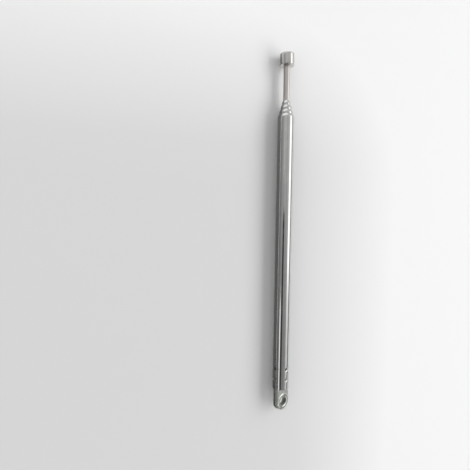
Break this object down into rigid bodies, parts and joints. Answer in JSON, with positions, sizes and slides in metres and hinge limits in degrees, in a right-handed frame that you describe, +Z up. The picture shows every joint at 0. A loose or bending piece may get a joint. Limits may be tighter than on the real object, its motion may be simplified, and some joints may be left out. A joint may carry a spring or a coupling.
{
  "type": "telescopic antenna",
  "caption": "Telescopic whip antenna of thin chrome-plated tubes that slide and turn in each other, with a drum-shaped tip cap and a flat drilled lug at the base.",
  "frame": {"origin": "inside the lug's pivot hole, where the hole's axis crosses the antenna's axis", "axes": "+Y along the antenna towards the tip cap, +Z up as it lies on a table, 21 degrees from the hole's axis, and +X to the right seen from the base"},
  "size_m": [0.005, 0.1062, 0.005],
  "materials": {
    "plated_tube": "polished",
    "plated_rod": "polished",
    "plated_cap": "polished",
    "plated_lug": "satin",
    "bare_brass": "satin",
    "spring_bronze": "satin"
  },
  "bodies": {
    "base": {"outer_tube": "plated_tube", "base_plug": "plated_lug"},
    "second_springs": {"second_spring_left": "spring_bronze", "second_spring_right": "spring_bronze"},
    "second_section": {"second_tube": "plated_tube", "second_foot": "bare_brass"},
    "third_springs": {"third_spring_left": "spring_bronze", "third_spring_right": "spring_bronze"},
    "third_section": {"third_tube": "plated_tube", "third_foot": "bare_brass"},
    "fourth_springs": {"fourth_spring_left": "spring_bronze", "fourth_spring_right": "spring_bronze"},
    "fourth_section": {"fourth_tube": "plated_tube", "fourth_foot": "bare_brass"},
    "rod_springs": {"rod_spring_left": "spring_bronze", "rod_spring_right": "spring_bronze"},
    "rod_section": {"rod": "plated_rod", "tip_cap": "plated_cap"}
  },
  "joints": [
    {"name": "second_slide", "type": "slide", "parent": "base", "child": "second_springs", "axis": [0, 1, 0], "range_m": [0, 0.069]},
    {"name": "second_swivel", "type": "hinge", "parent": "second_springs", "child": "second_section", "pos_m": [0, 0, 0], "axis": [0, 1, 0], "continuous": true},
    {"name": "third_slide", "type": "slide", "parent": "second_section", "child": "third_springs", "axis": [0, 1, 0], "range_m": [0, 0.0649]},
    {"name": "third_swivel", "type": "hinge", "parent": "third_springs", "child": "third_section", "pos_m": [0, 0, 0], "axis": [0, 1, 0], "continuous": true},
    {"name": "fourth_slide", "type": "slide", "parent": "third_section", "child": "fourth_springs", "axis": [0, 1, 0], "range_m": [0, 0.0607]},
    {"name": "fourth_swivel", "type": "hinge", "parent": "fourth_springs", "child": "fourth_section", "pos_m": [0, 0, 0], "axis": [0, 1, 0], "continuous": true},
    {"name": "rod_slide", "type": "slide", "parent": "fourth_section", "child": "rod_springs", "axis": [0, 1, 0], "range_m": [0, 0.0565]},
    {"name": "rod_swivel", "type": "hinge", "parent": "rod_springs", "child": "rod_section", "pos_m": [0, 0, 0], "axis": [0, 1, 0], "continuous": true}
  ]
}
